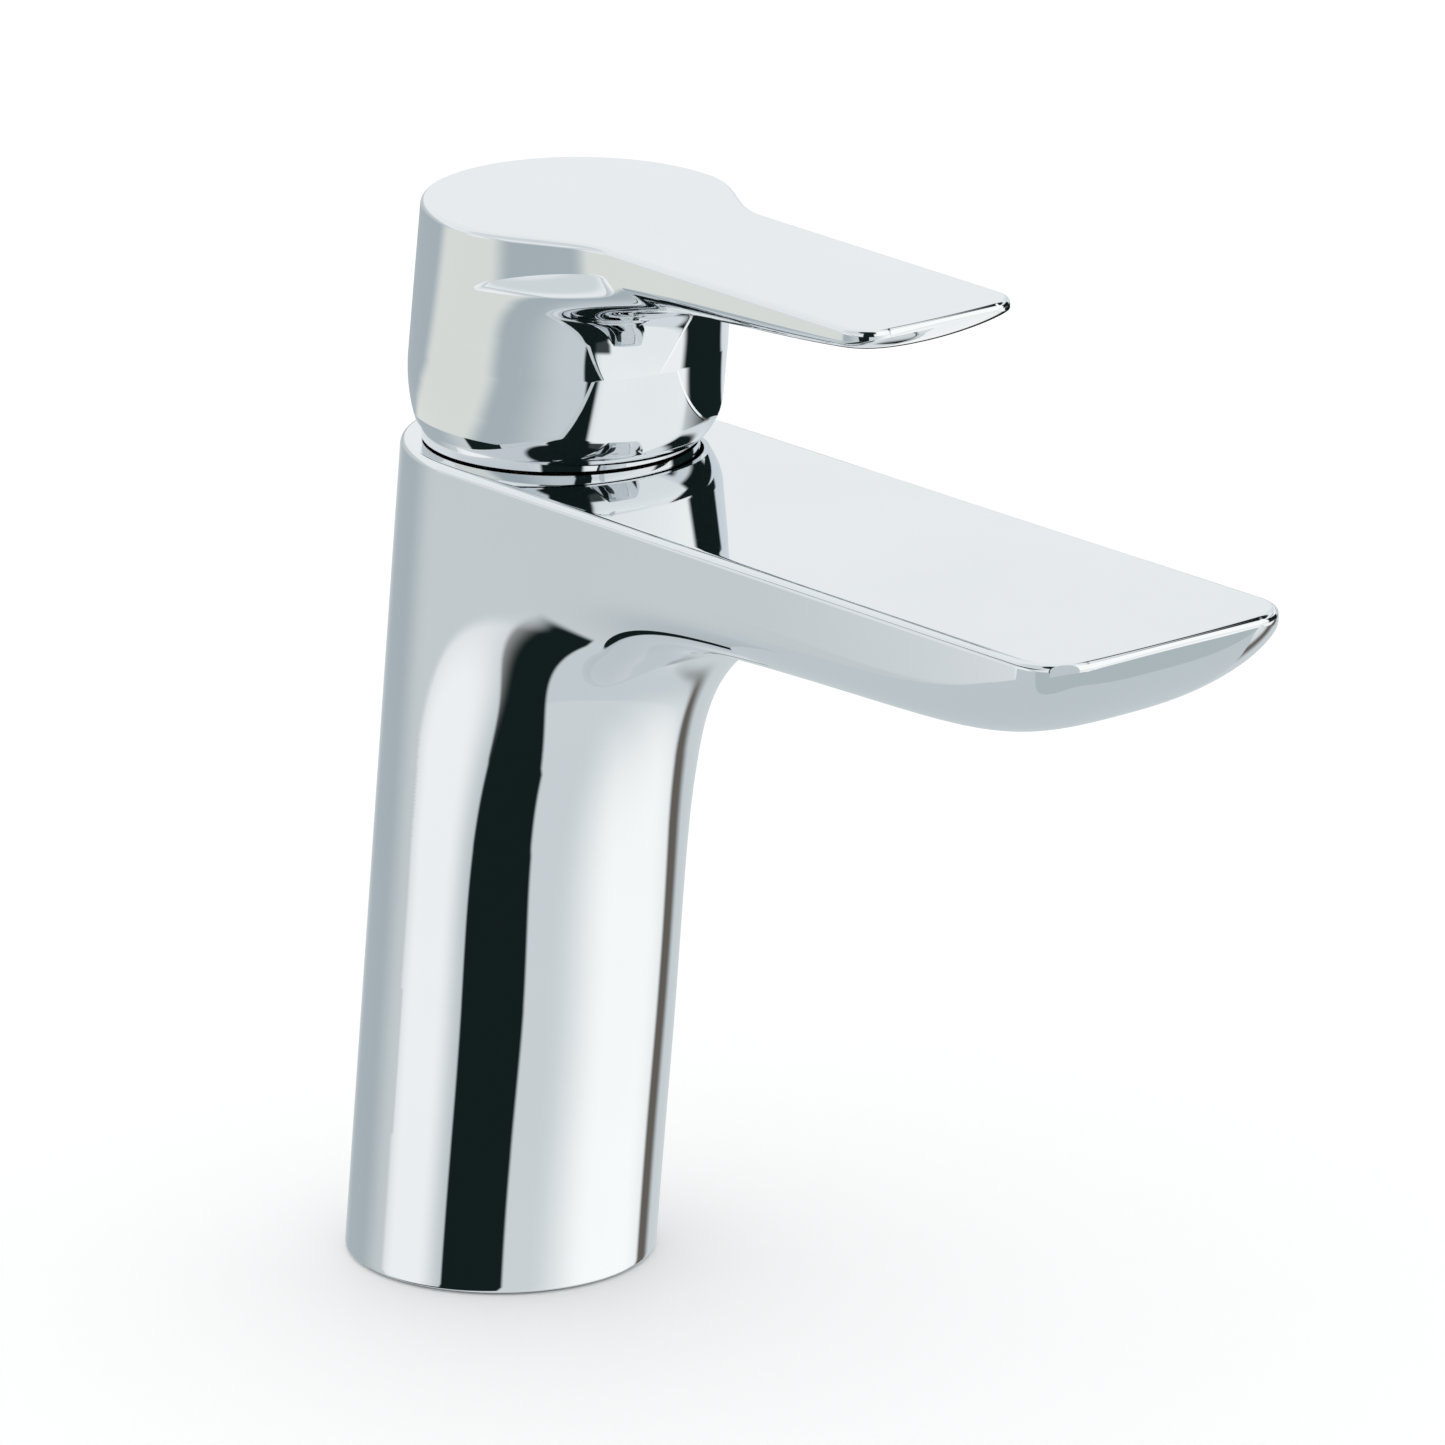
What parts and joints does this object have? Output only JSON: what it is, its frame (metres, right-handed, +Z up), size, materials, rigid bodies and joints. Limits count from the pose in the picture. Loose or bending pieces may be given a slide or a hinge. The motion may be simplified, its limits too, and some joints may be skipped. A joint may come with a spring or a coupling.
{
  "type": "basin mixer faucet",
  "caption": "Single-lever deck-mounted basin mixer: leaning round column running into a flat spout, cup handle with a flat lever over a ceramic-disc cartridge, recessed aerator.",
  "frame": {"origin": "centre of the base, on the deck it is fastened to", "axes": "+Z up, -Y towards the spout's tip, +X to the right as the user sees it"},
  "size_m": [0.048, 0.176, 0.1706],
  "materials": {
    "chrome": "mirror-polished chrome plate over brass",
    "handle_chrome": "mirror-polished chrome plate over die-cast zinc",
    "brass": "turned, unplated",
    "steel": "turned stainless steel",
    "ceramic": "lapped alumina ceramic",
    "white_plastic": "moulded acetal",
    "grey_plastic": "moulded glass-filled plastic",
    "red_plastic": "moulded plastic",
    "rubber": "moulded EPDM"
  },
  "bodies": {
    "faucet_body": {"body_casting": "chrome", "base_plate": "brass", "base_gasket": "rubber", "hot_inlet_seal": "rubber", "cold_inlet_seal": "rubber", "cartridge_foot": "white_plastic", "port_gasket": "rubber", "fixed_disc": "ceramic", "cartridge_housing": "grey_plastic", "housing_oring": "rubber", "limit_ring": "red_plastic", "retaining_nut": "brass", "shroud": "chrome", "shroud_oring": "rubber", "aerator_housing": "chrome", "aerator_mesh": "steel", "aerator_insert": "white_plastic", "flow_regulator": "grey_plastic", "aerator_seal": "rubber"},
    "turret_body": {"turret": "white_plastic", "pivot_pin": "steel"},
    "lever_body": {"handle": "handle_chrome", "spindle": "steel", "grub_screw": "steel", "indicator_plug": "red_plastic"},
    "disc_body": {"moving_disc": "ceramic", "disc_carrier": "grey_plastic"}
  },
  "joints": [
    {"name": "temperature_turn", "type": "hinge", "parent": "faucet_body", "child": "turret_body", "pos_m": [0, -0.01485, 0.1366], "axis": [0, 0, 1], "range_deg": [-45, 45]},
    {"name": "lever_lift", "type": "hinge", "parent": "turret_body", "child": "lever_body", "pos_m": [0, -0.01485, 0.1366], "axis": [-1, 0, 0], "range_deg": [0, 15]},
    {"name": "disc_slide", "type": "slide", "parent": "turret_body", "child": "disc_body", "axis": [0, -1, 0], "range_m": [0, 0.0045]}
  ],
  "couplings": [
    {"joint": "disc_slide", "follows": "lever_lift", "m_per_rad": 0.0164}
  ]
}
